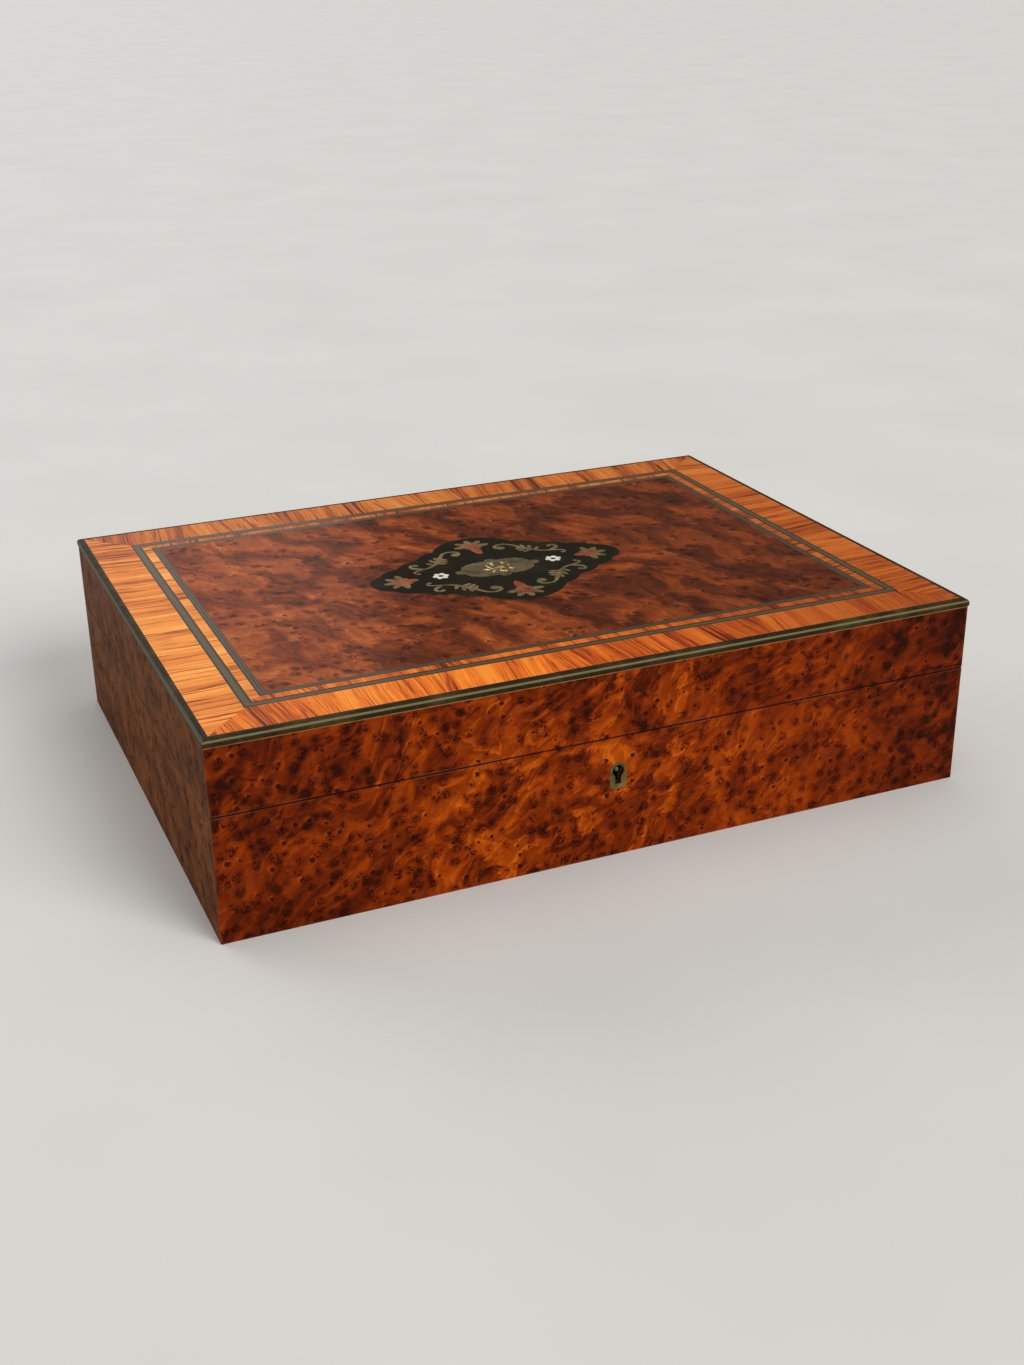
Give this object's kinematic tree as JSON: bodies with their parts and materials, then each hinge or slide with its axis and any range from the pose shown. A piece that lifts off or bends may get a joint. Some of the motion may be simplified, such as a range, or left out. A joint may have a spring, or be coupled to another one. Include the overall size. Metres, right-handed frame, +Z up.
{
  "type": "games box",
  "caption": "Veneered games box with a hinged, locking lid, banded top with an inlaid cartouche, card wells and lift-out counter boxes.",
  "frame": {"origin": "middle of the underside of the carcass, on the surface that the box stands on", "axes": "+X along the front to the right, +Y from the front to the hinges at the back, +Z up"},
  "size_m": [0.3208, 0.2392, 0.082],
  "materials": {
    "carcass_wood": "sawn oak, unpolished",
    "burr_veneer": "burr thuya, French polish, high gloss",
    "crossband_wood": "tulipwood laid across, French polish",
    "pale_line_wood": "pale tulipwood line, French polish",
    "dark_band_wood": "black and dark green lines, polished",
    "ebonised_wood": "black stained pear wood, polished",
    "inlay_brass": "engraved inlay, aged",
    "inlay_copper": "copper coloured inlay, aged",
    "mother_of_pearl": "polished shell inlay",
    "fitting_brass": "satin, aged",
    "lock_steel": "dull steel",
    "lining_velvet": "dark red velvet",
    "divider_wood": "dark polished rosewood",
    "counter_box_wood": "dark polished rosewood",
    "counter_box_lid_wood": "burr with a dark line, polished"
  },
  "bodies": {
    "base": {"base_back_board": "carcass_wood", "base_back_veneer": "burr_veneer", "base_bottom_panel": "carcass_wood", "base_front_board": "carcass_wood", "base_front_veneer": "burr_veneer", "base_left_board": "carcass_wood", "base_left_veneer": "burr_veneer", "base_lining": "lining_velvet", "base_right_board": "carcass_wood", "base_right_veneer": "burr_veneer", "base_rim_banding": "ebonised_wood", "base_screws": "fitting_brass", "card_dividers": "divider_wood", "cross_dividers": "divider_wood", "hinge_lower_leaves": "fitting_brass", "hinge_pins": "fitting_brass", "keyhole_escutcheon": "fitting_brass", "lock_case": "lock_steel", "lock_drill_pin": "lock_steel", "lock_plate": "fitting_brass", "lock_spring": "lock_steel", "lock_studs": "lock_steel", "long_dividers": "divider_wood"},
    "lid": {"burr_top_field": "burr_veneer", "cartouche_flowers": "mother_of_pearl", "cartouche_ground": "ebonised_wood", "cartouche_leaves": "inlay_copper", "cartouche_plaque": "inlay_brass", "cartouche_scrolls": "inlay_brass", "cartouche_shells": "inlay_brass", "crossband": "crossband_wood", "edge_bead": "ebonised_wood", "hinge_upper_leaves": "fitting_brass", "inner_dark_band": "dark_band_wood", "lid_back_rail": "carcass_wood", "lid_back_veneer": "burr_veneer", "lid_front_rail": "carcass_wood", "lid_front_veneer": "burr_veneer", "lid_left_rail": "carcass_wood", "lid_left_veneer": "burr_veneer", "lid_lining": "lining_velvet", "lid_right_rail": "carcass_wood", "lid_right_veneer": "burr_veneer", "lid_rim_banding": "ebonised_wood", "lid_screws": "fitting_brass", "lid_top_panel": "carcass_wood", "light_line": "pale_line_wood", "line_under_bead": "pale_line_wood", "link_plate": "fitting_brass", "link_staples": "fitting_brass", "outer_dark_band": "dark_band_wood"},
    "lock_bolt": {"lock_bolt": "lock_steel"},
    "counter_box_front_left": {"counter_box_front_left_tray": "counter_box_wood"},
    "counter_box_front_left_cover": {"counter_box_front_left_lid": "counter_box_lid_wood"},
    "counter_box_front_right": {"counter_box_front_right_tray": "counter_box_wood"},
    "counter_box_front_right_cover": {"counter_box_front_right_lid": "counter_box_lid_wood"},
    "counter_box_back_left": {"counter_box_back_left_tray": "counter_box_wood"},
    "counter_box_back_left_cover": {"counter_box_back_left_lid": "counter_box_lid_wood"},
    "counter_box_back_right": {"counter_box_back_right_tray": "counter_box_wood"},
    "counter_box_back_right_cover": {"counter_box_back_right_lid": "counter_box_lid_wood"}
  },
  "joints": [
    {"name": "lid_hinge", "type": "hinge", "parent": "base", "child": "lid", "pos_m": [0, 0.1185, 0.0515], "axis": [-1, 0, 0], "range_deg": [0, 99]},
    {"name": "lock_bolt_slide", "type": "slide", "parent": "base", "child": "lock_bolt", "axis": [1, 0, 0], "range_m": [0, 0.006]},
    {"name": "front_left_box_lift", "type": "slide", "parent": "base", "child": "counter_box_front_left", "axis": [0, 0, 1], "range_m": [0, 0.012]},
    {"name": "front_left_cover_lift", "type": "slide", "parent": "counter_box_front_left", "child": "counter_box_front_left_cover", "axis": [0, 0, 1], "range_m": [0, 0.014]},
    {"name": "front_right_box_lift", "type": "slide", "parent": "base", "child": "counter_box_front_right", "axis": [0, 0, 1], "range_m": [0, 0.012]},
    {"name": "front_right_cover_lift", "type": "slide", "parent": "counter_box_front_right", "child": "counter_box_front_right_cover", "axis": [0, 0, 1], "range_m": [0, 0.014]},
    {"name": "back_left_box_lift", "type": "slide", "parent": "base", "child": "counter_box_back_left", "axis": [0, 0, 1], "range_m": [0, 0.012]},
    {"name": "back_left_cover_lift", "type": "slide", "parent": "counter_box_back_left", "child": "counter_box_back_left_cover", "axis": [0, 0, 1], "range_m": [0, 0.014]},
    {"name": "back_right_box_lift", "type": "slide", "parent": "base", "child": "counter_box_back_right", "axis": [0, 0, 1], "range_m": [0, 0.012]},
    {"name": "back_right_cover_lift", "type": "slide", "parent": "counter_box_back_right", "child": "counter_box_back_right_cover", "axis": [0, 0, 1], "range_m": [0, 0.014]}
  ]
}
